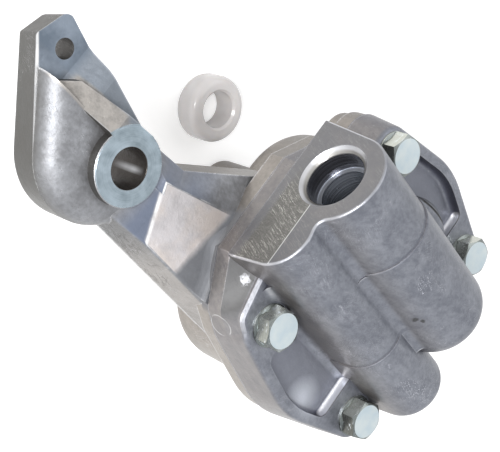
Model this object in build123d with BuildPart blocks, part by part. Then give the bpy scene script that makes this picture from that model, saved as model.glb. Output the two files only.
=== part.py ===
from build123d import *
import os
from math import acos, cos, degrees, pi, radians, sin, sqrt, tan

# Engine oil pump: a two-gear pump in a die-cast body with a long mounting arm.
# Origin: axis of the mounting bolt hole, on the machined mounting face.
# +Z runs along the gear axes towards the cover, +X from the arm to the pump.
os.makedirs("parts", exist_ok=True)

# ---- mounting head
mount_bore_d = 10.1
mount_boss_flare = 1.8
mount_boss_d = 19.0
mount_boss_top = 16.5
head_r = 17.8
head_offset = 4.0
head_skin = 8.3
lump_top = 13.6
lump_edge_r = 6.0
rib_width = 6.3
rib_tip_width = 4.6
rib_tip_top = 9.3
rib_rise = 0.6
facing_r = 10.3
rib_y = 2.4
shelf_top = 13.0
tip_hole_d = 4.9
tip_hole_x = -27.9
tip_hole_y = 10.25
tip_thickness = 8.3
tip_edge = 6.4
tip_draft = 0.9
head_wall_y = 9.3
head_wall_slope = 0.235

# ---- neck between the head and the pump
neck_top = 15.5
neck_ridge = 11.0
neck_edge_r = 1.0
valley_slope = 0.22
neck_keel = 5.0
neck_len = 56.0
neck_root_steps = 6
neck_start = 12.0
neck_side_y = -12.0
neck_draft = 2.4
outlet_port_d = 9.6
outlet_port_x = 18.5
outlet_passage_d = 8.4
outlet_passage_z = 6.2

# ---- gears
pump_x = 78.3
pump_y = 24.1
gear_centres = 27.0
gear_teeth = 7
gear_addendum = 0.82
gear_dedendum = 1.06
gear_pressure_deg = 28.0
gear_backlash = 0.30
gear_length = 30.4
gear_end_play = 0.05
gear_tip_clearance = 0.25
shaft_d = 11.1
shaft_clearance = 0.03
shaft_slot_w = 3.2
shaft_slot_depth = 5.0
shaft_recess = 0.5
idler_seat_depth = 5.0

# ---- body
split_z = 17.5
case_wall = 7.0
case_draft = 0.9
case_floor = 5.4
case_edge_r = 5.0
flange_depth = 5.0
flange_inset = 0.3
shaft_boss_d = 16.6
shaft_boss_root_d = 19.0
shaft_boss_len = 32.0
shaft_boss_edge = 2.5
port_cavity_d = 13.0
port_cavity_offset = 15.0
port_cavity_depth = 24.0

# ---- cover
cover_thickness = 11.0
cover_draft_deg = 8.0
block_draft_share = 0.35
pad_r = 8.3
pad_near_r = 9.8
rim_r = 29.3
rim_drive_r = 28.6
plate_edge_r = 1.6
corner_slope = 9.0
corner_edge_r = 4.8
brow_steps = 4
lobe_foot_r = 2.6
lobe_valley_r = 3.0
pocket_edge_r = 1.8
bolt_spacing_x = 46.9
bolt_spacing_y = 56.7
cover_face_x = 34.5
cover_face_low = 2.4
cover_face_high = 45.1
cover_face_bottom = 22.4
cover_face_setback = 0.3
pocket_depth = 3.0
pocket_rim = 3.0
pocket_half_len = 15.0
pickup_lobe_y = 30.7
pickup_lobe_z = 38.2
pickup_lobe_r = 12.75
pickup_lobe_spread = 1.8
pickup_bore_z = 36.2
pickup_end_offset = 22.2
pickup_bore_d = 15.66
pickup_seat_depth = 7.0
pickup_chamfer = 1.5
pickup_passage_d = 13.2
pickup_drop_offset = 12.0
relief_lobe_y = 12.2
relief_lobe_z = 32.7
relief_lobe_r = 9.7
relief_lobe_spread = 0.8
relief_step = 0.35
relief_step_offset = 4.2
relief_end_offset = 33.2
lobe_step = 0.4
lobe_step_edge = 0.4
lobe_step_x = 57.5
bulge_r = 15.5
bulge_top = 30.5
face_edge_r = 0.7
lobe_end_r = 8.0
relief_end_r = 4.0

# ---- relief valve
relief_bore_d = 12.7
relief_seat_d = 8.0
relief_seat_offset = -12.3
valve_clearance = 0.05
valve_length = 16.0
valve_wall = 1.4
valve_head = 3.5
valve_travel = 7.0
spring_wire_d = 1.4
spring_gap = 0.35
spring_turns = 5.5
spring_end_gap = 0.05
washer_thickness = 1.2
washer_hole_d = 5.0
pin_sink = 0.3
pin_d = 3.0
pin_from_end = 5.0
port_hole_d = 5.0
seat_chamber = 6.0
feed_depth = 3.0
pin_grip = 1.8
nose_gap = 0.05

# ---- bolts
bolt_d = 6.0
bolt_length = 20.0
bolt_clearance = 0.5
spot_face_r = 6.4
bolt_head_af = 10.0
bolt_head_h = 5.0
bolt_flange_d = 11.6
bolt_flange_h = 0.7
bolt_crown_d = 9.4
boss_r = 7.2
boss_extra = 5.0

# ---- shaft retainer sleeve
retainer_bore_d = 11.3
retainer_d = 20.4
retainer_h = 9.0
retainer_edge_r = 2.4
retainer_mouth = 0.7
retainer_x = 54.0
retainer_y = 50.5

# ---- places that follow from the sizes above
pad_z = split_z + cover_thickness
gear_top = split_z - gear_end_play
pocket_floor = split_z - gear_length - 2 * gear_end_play
case_bottom = pocket_floor - case_floor
module = gear_centres / gear_teeth
pitch_r = gear_centres / 2
base_r = pitch_r * cos(radians(gear_pressure_deg))
tip_r = pitch_r + gear_addendum * module
root_r = pitch_r - gear_dedendum * module
pocket_r = tip_r + gear_tip_clearance
drive_y = pump_y + pitch_r
idler_y = pump_y - pitch_r
boss_end = case_bottom - shaft_boss_len
cover_inset = cover_thickness * tan(radians(cover_draft_deg))
pocket_z = pad_z - pocket_depth
inlet_x = pump_x + port_cavity_offset
outlet_x = pump_x - port_cavity_offset
pickup_drop_x = pump_x + pickup_drop_offset
pickup_lobe_end = pump_x + pickup_end_offset
relief_lobe_end = pump_x + relief_end_offset
relief_step_x = pump_x + relief_step_offset
relief_seat_x = pump_x + relief_seat_offset
pin_x = relief_lobe_end - pin_from_end
valve_r = relief_bore_d / 2 - valve_clearance
spring_r = valve_r - valve_wall - spring_gap - spring_wire_d / 2
pin_length = relief_lobe_r + relief_bore_d / 2 + pin_grip
valve_x = relief_seat_x + nose_gap
washer_x = pin_x - pin_d / 2 - washer_thickness
bolt_points = [
    (pump_x - bolt_spacing_x / 2, pump_y - bolt_spacing_y / 2),
    (pump_x + bolt_spacing_x / 2, pump_y - bolt_spacing_y / 2),
    (pump_x + bolt_spacing_x / 2, pump_y + bolt_spacing_y / 2),
    (pump_x - bolt_spacing_x / 2, pump_y + bolt_spacing_y / 2),
]
gear_points = [(pump_x, idler_y), (pump_x, drive_y)]
pad_radii = [pad_near_r, pad_r, pad_r, pad_r]
rim_radii = [rim_r, rim_drive_r]
joint_x = cover_face_x + cover_face_setback


def wall_y(x):
    """Y of the straight side wall that runs from the tip to the mounting boss."""
    return head_wall_y - head_wall_slope * x


def cover_outline(inset):
    """Outline round the bolt pads and the gear pockets, pulled in by inset."""
    with BuildSketch() as outline:
        for place, radius in zip(bolt_points + gear_points, pad_radii + rim_radii):
            with Locations(place):
                Circle(radius - inset)
        make_hull()
    return outline.sketch


def block_outline(inset, slope=0.0, brow=0.0):
    """Outline of the block under the machined face; slope leans its near corner back."""
    lean = block_draft_share * inset + brow
    near_x, near_y = bolt_points[0]
    far_x, far_y = bolt_points[3]
    circles = [
        (joint_x + 0.4 + lean + corner_slope * slope, cover_face_low + 0.4, 0.4),
        (near_x - 7.9 + corner_slope * slope / 4, near_y - 1.8, corner_edge_r - lean),
        (near_x, near_y, pad_near_r - inset - brow),
        (far_x + 4.0, far_y, 0.4),
        (joint_x + 7.4 + lean, cover_face_high - 1.4 - lean, 0.4),
        (joint_x + 0.4 + lean, cover_face_high - 13.4 - lean, 0.4),
    ]
    with BuildSketch() as block:
        for x, y, r in circles:
            with Locations((x, y)):
                Circle(r)
        make_hull()
    return block.sketch


def involute(r, side, spin):
    """Point of a tooth flank at radius r, for the right or left side."""
    a = acos(min(1.0, base_r / r))
    roll = tan(a) - a
    half = pi / (2 * gear_teeth) - gear_backlash / (4 * pitch_r)
    a0 = radians(gear_pressure_deg)
    half += tan(a0) - a0
    t = side * (half - roll) + spin
    return (r * cos(t), r * sin(t))


def gear_profile(spin_deg):
    """Face of one pump gear about the origin, turned by spin_deg."""
    flank_r = [base_r + (tip_r - base_r) * k / 4 for k in range(5)]
    right = [involute(r, -1, 0) for r in flank_r]
    left = [involute(r, 1, 0) for r in flank_r]
    foot = root_r - 0.6
    foot_right = (foot * right[0][0] / base_r, foot * right[0][1] / base_r)
    foot_left = (foot * left[0][0] / base_r, foot * left[0][1] / base_r)
    with BuildSketch() as tooth:
        with BuildLine():
            Line(foot_right, right[0])
            Spline(*right)
            ThreePointArc(right[-1], (tip_r, 0), left[-1])
            Spline(*left)
            Line(left[0], foot_left)
            Line(foot_left, foot_right)
        make_face()
    with BuildSketch() as profile:
        Circle(root_r)
        with PolarLocations(0, gear_teeth, start_angle=spin_deg):
            add(tooth.sketch)
    return profile.sketch


# ---------------------------------------------------------------- pump body
# the head: a plate under the tip, a domed lump, a rib and a shelf beside it
head_left = tip_hole_x - tip_edge - 1.2
head_top = tip_hole_y + tip_edge

with BuildSketch() as beside_head:
    Polygon(
        (head_left - 5.0, wall_y(head_left - 5.0)),
        (2.0, wall_y(2.0)),
        (17.0, 11.4),
        (17.0, 60.0),
        (head_left - 5.0, 60.0),
        align=None,
    )

def head_outline(inset):
    """Outline of the head, with the end of the tip pulled in by inset."""
    with BuildSketch() as head:
        with Locations((-head_offset, 0)):
            Circle(head_r)
        with Locations((head_left + 1.0 + inset, tip_hole_y - 2.2)):
            Circle(1.0)
        with Locations((tip_hole_x - 3.4 + inset / 2, head_top - 2.4 - inset)):
            Circle(2.4)
        with Locations((2.0, 8.0)):
            Circle(1.0)
        make_hull()
        add(beside_head.sketch, mode=Mode.SUBTRACT)
    return head.sketch


lump_nose_r = lump_edge_r + 0.5
with BuildPart() as lump:
    with BuildSketch():
        with Locations((-head_offset, 0)):
            Circle(head_r)
        with Locations((head_left + lump_nose_r + 4.4, rib_y + 3.7)):
            Circle(lump_nose_r)
        make_hull()
    extrude(amount=lump_top)
    fillet(lump.edges().group_by(Axis.Z)[-1], lump_edge_r)
    with BuildSketch():
        with Locations((-head_offset, rib_y + 0.5)):
            Rectangle(4 * head_r, 2 * head_r, align=(Align.CENTER, Align.MIN))
    extrude(amount=lump_top, mode=Mode.SUBTRACT)

rib_start = tip_hole_x + 1.4
with BuildPart() as rib:
    with BuildSketch():
        Polygon(
            (rib_start, rib_y),
            (rib_start + 5.0, rib_y + rib_tip_width),
            (0.0, rib_y + rib_width + 0.8),
            (0.0, rib_y),
            align=None,
        )
    extrude(amount=mount_boss_top + rib_rise)
    with BuildSketch(Plane.XZ.offset(-rib_y)):
        Polygon(
            (rib_start - 1.0, 0.0),
            (rib_start - 1.0, rib_tip_top),
            (-mount_boss_d / 2, mount_boss_top + rib_rise),
            (0.0, mount_boss_top + rib_rise),
            (0.0, 0.0),
            align=None,
        )
    extrude(amount=-2 * rib_width, mode=Mode.INTERSECT)
    with BuildSketch(Plane.XY.offset(mount_boss_top)):
        Circle(facing_r)
    extrude(amount=2 * rib_rise, mode=Mode.SUBTRACT)

shelf_foot = tip_hole_x + 4.2
shelf_crown = shelf_foot + 8.0
with BuildPart() as shelf:
    with BuildSketch(Plane.XZ.offset(-rib_y - 1.5)):
        with BuildLine():
            Spline(
                (shelf_foot, tip_thickness - 0.05),
                (shelf_crown, shelf_top),
                tangents=[(1, 0.25), (1, 0.15)],
            )
            Polyline(
                (shelf_crown, shelf_top),
                (-3.0, shelf_top + 0.6),
                (4.0, shelf_top - 0.6),
                (4.0, 1.0),
                (shelf_foot, 1.0),
                (shelf_foot, tip_thickness - 0.05),
            )
        make_face()
    extrude(amount=-head_r)
    with BuildSketch():
        add(head_outline(0.0))
    extrude(amount=mount_boss_top, mode=Mode.INTERSECT)

with BuildPart() as mount_boss:
    with BuildSketch(Plane.XZ):
        with BuildLine():
            Polyline(
                (0, 0),
                (mount_boss_d / 2 + mount_boss_flare, 0),
                (mount_boss_d / 2 + mount_boss_flare, mount_boss_top - 3.2 - mount_boss_flare),
            )
            RadiusArc(
                (mount_boss_d / 2 + mount_boss_flare, mount_boss_top - 3.2 - mount_boss_flare),
                (mount_boss_d / 2, mount_boss_top - 3.2),
                -mount_boss_flare,
            )
            Polyline(
                (mount_boss_d / 2, mount_boss_top - 3.2),
                (mount_boss_d / 2, mount_boss_top - 0.3),
                (mount_boss_d / 2 - 0.3, mount_boss_top),
                (0, mount_boss_top),
                (0, 0),
            )
        make_face()
    revolve(axis=Axis.Z)
    # no flare beyond the head's straight side wall
    add(beside_head.sketch)
    extrude(amount=mount_boss_top - 3.3, mode=Mode.SUBTRACT)

neck_end = neck_start - 8.0 + neck_len
with BuildPart() as neck_core:
    with BuildSketch(Plane.XY):
        Polygon(
            (0.0, neck_side_y + 1.0),
            (neck_end, neck_side_y + 1.0),
            (neck_end, 2.0),
            (0.0, 2.0),
            align=None,
        )
    extrude(amount=neck_keel)
    with BuildSketch(Plane.XY.offset(neck_keel)):
        Polygon(
            (0.0, neck_side_y), (neck_end, neck_side_y), (neck_end, 2.0), (0.0, 2.0), align=None
        )
    with BuildSketch(Plane.XY.offset(neck_top)):
        Polygon(
            (0.0, neck_side_y + neck_draft),
            (neck_end, neck_side_y + neck_draft),
            (neck_end, 2.0),
            (0.0, 2.0),
            align=None,
        )
    loft(ruled=True)
    # the shallow valley that falls from the neck's crest towards the boss
    with BuildSketch(Plane((neck_start, 4.5, neck_top), z_dir=(-0.894 * valley_slope, -0.447 * valley_slope, 1))):
        Rectangle(4 * neck_start, 6 * neck_start)
    extrude(amount=neck_top, mode=Mode.SUBTRACT)
    crest = neck_core.edges().filter_by(lambda e: e.center().Z > 12.0 and e.center().Y < -6.0)
    fillet(crest, neck_edge_r)

wing_low = [
    (0.0, 0.0),
    (0.0, head_wall_y + 0.2),
    (17.0, 11.4),
    (44.1, 30.2),
    (neck_end, 32.0),
    (neck_end, 0.0),
]
wing_top = [
    (neck_start + 2.4, 0.0),
    (neck_start + 0.2, 4.6),
    (neck_start + 4.0, 5.8),
    (36.0, 12.0),
    (neck_end, 19.0),
    (neck_end, 0.0),
]
with BuildPart() as neck_wing:
    with BuildSketch(Plane.XY):
        Polygon(*wing_low, align=None)
    extrude(amount=neck_ridge)
    with BuildSketch(Plane.XY.offset(neck_ridge)):
        Polygon(*wing_low, align=None)
    with BuildSketch(Plane.XY.offset(neck_top)):
        Polygon(*wing_top, align=None)
    loft(ruled=True)

# the hollow root where the neck's top runs up to the flange
root_foot = [(0.7, 13.0), (-1.1, 6.9), (-3.2, 1.6), (-2.6, -1.8), (-0.2, -4.4), (0.6, -9.4)]
root_brow = [(0.4, 13.0), (0.4, 8.0), (0.6, 2.8), (3.4, 0.2), (5.6, -4.0), (7.8, -9.4)]


def root_outline(share):
    """Section of the root: its foot at share 1, its brow under the joint at share 0."""
    curve = [
        (joint_x + bx + (fx - bx) * share, by + (fy - by) * share)
        for (fx, fy), (bx, by) in zip(root_foot, root_brow)
    ]
    with BuildSketch() as root:
        with BuildLine():
            Spline(*curve)
            Polyline(curve[-1], (neck_end, curve[-1][1]), (neck_end, curve[0][1]), curve[0])
        make_face()
    return root.sketch


root_rise = split_z - neck_top + 0.2
with BuildPart() as neck_root:
    for step in range(neck_root_steps):
        for turn in (step, step + 1):
            angle = radians(90.0 * turn / neck_root_steps)
            with BuildSketch(Plane.XY.offset(split_z - root_rise * cos(angle))):
                add(root_outline(1 - sin(angle)))
        loft(ruled=True)

with BuildPart() as case:
    with BuildSketch(Plane.XY.offset(case_bottom)):
        with Locations((pump_x, pump_y)):
            SlotCenterToCenter(gear_centres, 2 * (pocket_r + case_wall - case_draft), rotation=90)
    with BuildSketch(Plane.XY.offset(split_z)):
        with Locations((pump_x, pump_y)):
            SlotCenterToCenter(gear_centres, 2 * (pocket_r + case_wall), rotation=90)
    loft(ruled=True)
    fillet(case.edges().group_by(Axis.Z)[0], case_edge_r)

with BuildPart() as shaft_boss:
    with BuildSketch(Plane.XZ.offset(-drive_y)):
        with BuildLine():
            Polyline(
                (pump_x, boss_end),
                (pump_x + shaft_boss_d / 2, boss_end),
                (pump_x + shaft_boss_d / 2, boss_end + shaft_boss_len * 0.45),
                (pump_x + shaft_boss_root_d / 2, case_bottom - 3.0),
                (pump_x + shaft_boss_root_d / 2 + 3.0, case_bottom + 0.5),
                (pump_x, case_bottom + 0.5),
                close=True,
            )
        make_face()
    revolve(axis=Axis((pump_x, drive_y, 0), (0, 0, 1)))
    fillet(shaft_boss.edges().group_by(Axis.Z)[0], shaft_boss_edge)

with BuildPart() as corner_boss:
    with BuildSketch(Plane.XY.offset(split_z - flange_depth - boss_extra)):
        with Locations(*bolt_points):
            Circle(boss_r)
    extrude(amount=flange_depth + boss_extra)
    fillet(corner_boss.edges().group_by(Axis.Z)[0], 2.0)

with BuildPart() as pump_body:
    with BuildSketch():
        add(head_outline(tip_draft))
    with BuildSketch(Plane.XY.offset(head_skin)):
        add(head_outline(0.0))
    loft(ruled=True)
    add(lump.part)
    add(rib.part)
    add(shelf.part)
    add(mount_boss.part)
    add(neck_core.part)
    add(neck_wing.part)
    add(neck_root.part)
    add(case.part)
    add(shaft_boss.part)
    with BuildSketch(Plane.XY.offset(split_z - flange_depth)):
        add(cover_outline(flange_inset))
        add(block_outline(flange_inset))
    extrude(amount=flange_depth)
    add(corner_boss.part)
    # gear pockets and the two port cavities beside the mesh
    with BuildSketch(Plane.XY.offset(split_z)):
        with Locations(*gear_points):
            Circle(pocket_r)
    extrude(amount=pocket_floor - split_z, mode=Mode.SUBTRACT)
    with BuildSketch(Plane.XY.offset(split_z)):
        with Locations((inlet_x, pump_y), (outlet_x, pump_y)):
            Circle(port_cavity_d / 2)
    extrude(amount=-port_cavity_depth, mode=Mode.SUBTRACT)
    # shaft bearing and idler seat
    with Locations(Plane((pump_x, drive_y, boss_end), z_dir=(0, 0, -1))):
        Hole(shaft_d / 2 + shaft_clearance, depth=pocket_floor - boss_end)
    with Locations(Plane((pump_x, idler_y, pocket_floor))):
        Hole(shaft_d / 2, depth=idler_seat_depth)
    # cover bolt holes
    with Locations(*[Plane((x, y, split_z)) for x, y in bolt_points]):
        Hole(bolt_d / 2, depth=bolt_length - cover_thickness + 1.0)
    # mounting bolt hole and locating hole
    with Locations(Plane((0, 0, mount_boss_top))):
        Hole(mount_bore_d / 2, depth=mount_boss_top)
    with Locations(Plane((tip_hole_x, tip_hole_y, tip_thickness + 1.5))):
        Hole(tip_hole_d / 2, depth=tip_thickness + 1.5)
    # outlet: port in the mounting face and the passage from the outlet cavity
    with Locations(Plane((outlet_port_x, 0, 0), z_dir=(0, 0, -1))):
        Hole(outlet_port_d / 2, depth=outlet_passage_z + outlet_passage_d / 2)
    outlet_from = Vector(outlet_port_x, 0, outlet_passage_z)
    outlet_to = Vector(outlet_x, pump_y, outlet_passage_z)
    with BuildSketch(Plane(outlet_from, z_dir=outlet_to - outlet_from)):
        Circle(outlet_passage_d / 2)
    extrude(amount=(outlet_to - outlet_from).length, mode=Mode.SUBTRACT)
pump_body.part.label = "pump_body"
export_step(pump_body.part, "parts/pump_body.step")


# ---------------------------------------------------------------- pump cover
lobe_floor = cover_face_bottom


def lobe_profile(y, z, r, spread):
    """Arch of one lobe: a round crown on two sides that spread towards the plate."""
    with BuildSketch() as arch:
        with Locations((y, z)):
            Circle(r)
        with Locations((y, lobe_floor + 0.5)):
            Rectangle(2 * (r + spread), 1.0)
        make_hull()
    return arch.sketch


def feet_profile(level, grow):
    """Both lobes on a strip of plate at one level, with their concave corners rounded."""
    left = relief_lobe_y - relief_lobe_r - relief_lobe_spread
    right = pickup_lobe_y + pickup_lobe_r + pickup_lobe_spread
    margin = lobe_foot_r + grow + 0.3
    with BuildSketch() as feet:
        add(lobe_profile(pickup_lobe_y, pickup_lobe_z, pickup_lobe_r + grow, pickup_lobe_spread))
        add(lobe_profile(relief_lobe_y, relief_lobe_z, relief_lobe_r, relief_lobe_spread))
        with Locations(((left + right) / 2, level - 1.0)):
            Rectangle(right - left + 2 * margin, 2.0)
        at_foot = feet.vertices().filter_by(
            lambda v: abs(v.Y - level) < 0.01 and left - 1.5 < v.X < right + 1.5
        )
        fillet(at_foot, lobe_foot_r)
        crook = feet.vertices().filter_by(lambda v: v.Y > relief_lobe_z + 1.0)
        fillet(
            crook.filter_by(lambda v: relief_lobe_y + 2.0 < v.X < pickup_lobe_y - 5.0),
            lobe_valley_r,
        )
    return feet.sketch


def lobe_end(lobe, radius):
    """Rounds the far end of a lobe, all but its foot."""
    edges = lobe.faces().sort_by(Axis.X)[-1].edges()
    fillet(edges.filter_by(lambda e: e.center().Z > lobe_floor + 0.6), radius)


with BuildPart() as pickup_lobe:
    with BuildSketch(Plane.YZ.offset(lobe_step_x)):
        add(lobe_profile(pickup_lobe_y, pickup_lobe_z, pickup_lobe_r + lobe_step, pickup_lobe_spread))
    extrude(amount=pickup_lobe_end - lobe_step_x)
    lobe_end(pickup_lobe, lobe_end_r)
    step = pickup_lobe.faces().sort_by(Axis.X)[0].edges()
    fillet(step.filter_by(lambda e: e.center().Z > lobe_floor + 0.6), lobe_step_edge)

with BuildPart() as relief_lobe:
    with BuildSketch(Plane.YZ.offset(relief_step_x)):
        add(lobe_profile(relief_lobe_y, relief_lobe_z, relief_lobe_r + relief_step, relief_lobe_spread))
    extrude(amount=relief_lobe_end - relief_step_x)
    lobe_end(relief_lobe, relief_end_r)
    step = relief_lobe.faces().sort_by(Axis.X)[0].edges()
    fillet(step.filter_by(lambda e: e.center().Z > lobe_floor + 0.6), 0.3)

with BuildPart() as face_lobes:
    with BuildSketch(Plane.YZ.offset(cover_face_x)) as face_outline:
        add(lobe_profile(pickup_lobe_y, pickup_lobe_z, pickup_lobe_r, pickup_lobe_spread))
        add(lobe_profile(relief_lobe_y, relief_lobe_z, relief_lobe_r, relief_lobe_spread))
        crook = face_outline.vertices().filter_by(
            lambda v: v.Y > relief_lobe_z + 1.0 and relief_lobe_y + 2.0 < v.X < pickup_lobe_y - 5.0
        )
        fillet(crook, lobe_valley_r)
    extrude(amount=lobe_step_x - cover_face_x + 1.0)
    rim = face_lobes.faces().sort_by(Axis.X)[0].edges()
    fillet(rim.filter_by(lambda e: e.center().Z > lobe_floor + 0.6), face_edge_r)

feet_start = joint_x + corner_slope + 2.0
pocket_start = pump_x - pocket_half_len - 1.5
feet_end = pickup_lobe_end - lobe_end_r
with BuildPart() as lobe_feet:
    with BuildSketch(Plane.YZ.offset(feet_start)):
        add(feet_profile(pad_z, 0.0))
    extrude(amount=lobe_step_x + 0.5 - feet_start)
    with BuildSketch(Plane.YZ.offset(lobe_step_x + 0.5)):
        add(feet_profile(pocket_z, lobe_step))
    extrude(amount=feet_end - lobe_step_x - 0.5)

with BuildPart() as bulge:
    with BuildSketch(Plane.XY.offset(pad_z - pocket_depth - 1.0)):
        with Locations((pump_x + 2.5, drive_y + 0.4)):
            Circle(bulge_r)
    extrude(amount=bulge_top - pad_z + pocket_depth + 1.0)
    fillet(bulge.edges().group_by(Axis.Z)[-1], 2.5)

with BuildPart() as pocket_tool:
    with BuildSketch(Plane.XY.offset(pocket_z)) as cover_pockets:
        add(cover_outline(cover_inset + pocket_rim))
        with BuildSketch(Plane.XY.offset(pocket_z), mode=Mode.PRIVATE) as window:
            with Locations(
                (pump_x - 1.5, pump_y - bolt_spacing_y / 2 - 6.0),
                (pump_x - 1.5, pump_y + bolt_spacing_y / 2 + 6.0),
            ):
                Rectangle(2 * pocket_half_len, 32.0)
        add(window.sketch, mode=Mode.INTERSECT)
        fillet(cover_pockets.vertices(), 3.0)
    extrude(amount=pocket_depth + 1.0)
    fillet(pocket_tool.edges().group_by(Axis.Z)[0], pocket_edge_r)

with BuildPart() as plate:
    with BuildSketch(Plane.XY.offset(split_z)):
        add(cover_outline(0.0))
    with BuildSketch(Plane.XY.offset(pad_z)):
        add(cover_outline(cover_inset))
    loft(ruled=True)
    fillet(plate.edges().group_by(Axis.Z)[-1], plate_edge_r)
    add(pocket_tool.part, mode=Mode.SUBTRACT)

brow_z = pad_z - plate_edge_r
sill_inset = cover_inset * (cover_face_bottom - split_z) / cover_thickness
with BuildPart() as block:
    with BuildSketch(Plane.XY.offset(split_z)):
        add(block_outline(0.0))
    with BuildSketch(Plane.XY.offset(cover_face_bottom)):
        add(block_outline(sill_inset))
    loft(ruled=True)
    with BuildSketch(Plane.XY.offset(cover_face_bottom)):
        add(block_outline(sill_inset))
    with BuildSketch(Plane.XY.offset(brow_z)):
        add(block_outline(cover_inset, 1.0))
    loft(ruled=True)
    # its rounded brow
    for step in range(brow_steps):
        for turn in (step, step + 1):
            angle = radians(90.0 * turn / brow_steps)
            with BuildSketch(Plane.XY.offset(brow_z + plate_edge_r * sin(angle))):
                add(block_outline(cover_inset, 1.0, plate_edge_r * (1 - cos(angle))))
        loft(ruled=True)

with BuildPart() as pump_cover:
    add(plate.part)
    add(block.part)
    add(bulge.part)
    add(lobe_feet.part)
    add(face_lobes.part)
    add(pickup_lobe.part)
    add(relief_lobe.part)
    # pickup tube bore: press seat, mouth chamfer, then the passage to the inlet cavity
    with BuildSketch(Plane.YZ.offset(cover_face_x)):
        with Locations((pickup_lobe_y, pickup_bore_z)):
            Circle(pickup_bore_d / 2)
    extrude(amount=pickup_seat_depth, mode=Mode.SUBTRACT)
    with BuildSketch(Plane.YZ.offset(cover_face_x)):
        with Locations((pickup_lobe_y, pickup_bore_z)):
            Circle(pickup_bore_d / 2 + pickup_chamfer)
    extrude(amount=pickup_chamfer, taper=45, mode=Mode.SUBTRACT)
    with BuildSketch(Plane.YZ.offset(cover_face_x)):
        with Locations((pickup_lobe_y, pickup_bore_z)):
            Circle(pickup_passage_d / 2)
    extrude(amount=pickup_drop_x + pickup_passage_d / 2 - cover_face_x, mode=Mode.SUBTRACT)
    with BuildSketch(Plane.XY.offset(split_z)):
        with Locations((pickup_drop_x, pickup_lobe_y - 2.0)):
            Circle(pickup_passage_d / 2)
    extrude(amount=pickup_bore_z - split_z, mode=Mode.SUBTRACT)
    # relief bore from the far end, its smaller seat, and the two ports under it
    with BuildSketch(Plane.YZ.offset(relief_lobe_end)):
        with Locations((relief_lobe_y, relief_lobe_z)):
            Circle(relief_bore_d / 2)
    extrude(amount=relief_seat_x - relief_lobe_end, mode=Mode.SUBTRACT)
    with BuildSketch(Plane.YZ.offset(relief_seat_x)):
        with Locations((relief_lobe_y, relief_lobe_z)):
            Circle(relief_seat_d / 2)
    extrude(amount=-seat_chamber, mode=Mode.SUBTRACT)
    # feed from the outlet side: a slot in the joint face and a hole up to the seat
    feed_x = relief_seat_x - seat_chamber / 2
    with BuildSketch(Plane.XY.offset(split_z)):
        with Locations((feed_x, (pump_y + relief_lobe_y) / 2)):
            SlotCenterToCenter(pump_y - relief_lobe_y, port_hole_d, rotation=90)
    extrude(amount=feed_depth, mode=Mode.SUBTRACT)
    with BuildSketch(Plane.XY.offset(split_z)):
        with Locations((feed_x, relief_lobe_y)):
            Circle(port_hole_d / 2)
    extrude(amount=relief_lobe_z - split_z, mode=Mode.SUBTRACT)
    # return: a cross hole that the valve uncovers, into the pickup passage
    with BuildSketch(Plane.XZ.offset(-relief_lobe_y)):
        with Locations((relief_seat_x + port_hole_d / 2 + 1.0, relief_lobe_z + 2.0)):
            Circle(port_hole_d / 2)
    extrude(amount=relief_lobe_y - pickup_lobe_y, mode=Mode.SUBTRACT)
    # retaining pin hole, from the side, blind in the far wall
    with BuildSketch(Plane.XZ.offset(-(relief_lobe_y + relief_lobe_r))):
        with Locations((pin_x, relief_lobe_z)):
            Circle(pin_d / 2)
    extrude(amount=pin_length, mode=Mode.SUBTRACT)
    # bolt holes and the room round the bolt heads
    with BuildSketch(Plane.XY.offset(pad_z)):
        with Locations(*bolt_points):
            Circle(spot_face_r)
    extrude(amount=bolt_head_h + 2.0, mode=Mode.SUBTRACT)
    with Locations(*[Plane((x, y, pad_z)) for x, y in bolt_points]):
        Hole(bolt_d / 2 + bolt_clearance / 2, depth=cover_thickness)
pump_cover.part.label = "pump_cover"
export_step(pump_cover.part, "parts/pump_cover.step")

# ---------------------------------------------------------------- cover bolts
bolt_profile = [
    (0, -bolt_length),
    (bolt_d / 2 - 0.8, -bolt_length),
    (bolt_d / 2, -bolt_length + 0.8),
    (bolt_d / 2, 0),
    (bolt_flange_d / 2, 0),
    (bolt_flange_d / 2, bolt_flange_h * 0.6),
    (bolt_head_af / 2 + 0.1, bolt_flange_h),
    (0, bolt_flange_h),
]
bolt_crown = [
    (0, bolt_flange_h),
    (bolt_head_af * 0.6, bolt_flange_h),
    (bolt_head_af * 0.6, bolt_head_h - (bolt_head_af * 0.6 - bolt_crown_d / 2) * tan(radians(28))),
    (bolt_crown_d / 2, bolt_head_h),
    (0, bolt_head_h),
]
with BuildPart() as bolt:
    with BuildSketch():
        RegularPolygon(bolt_head_af / 2, 6, major_radius=False)
    extrude(amount=bolt_head_h)
    with BuildSketch(Plane.XZ):
        Polygon(*bolt_crown, align=None)
    revolve(axis=Axis.Z, mode=Mode.INTERSECT)
    with BuildSketch(Plane.XZ):
        Polygon(*bolt_profile, align=None)
    revolve(axis=Axis.Z)

bolt_turns = [8.0, 22.0, -8.0, 15.0]
with BuildPart() as cover_bolts:
    for place, turn in zip(bolt_points, bolt_turns):
        with Locations(Location((place[0], place[1], pad_z), (0, 0, turn))):
            add(bolt.part)
cover_bolts.part.label = "cover_bolts"
export_step(cover_bolts.part, "parts/cover_bolts.step")

# ---------------------------------------------------------------- gears and shafts
mesh_half = 180.0 / gear_teeth
shaft_top = gear_top - 0.4

with BuildPart() as drive_gear:
    with BuildSketch(Plane.XY.offset(gear_top - gear_length)):
        with Locations((pump_x, drive_y)):
            add(gear_profile(-90.0))
        with Locations((pump_x, drive_y)):
            Circle(shaft_d / 2, mode=Mode.SUBTRACT)
    extrude(amount=gear_length)
drive_gear.part.label = "drive_gear"
export_step(drive_gear.part, "parts/drive_gear.step")

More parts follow.
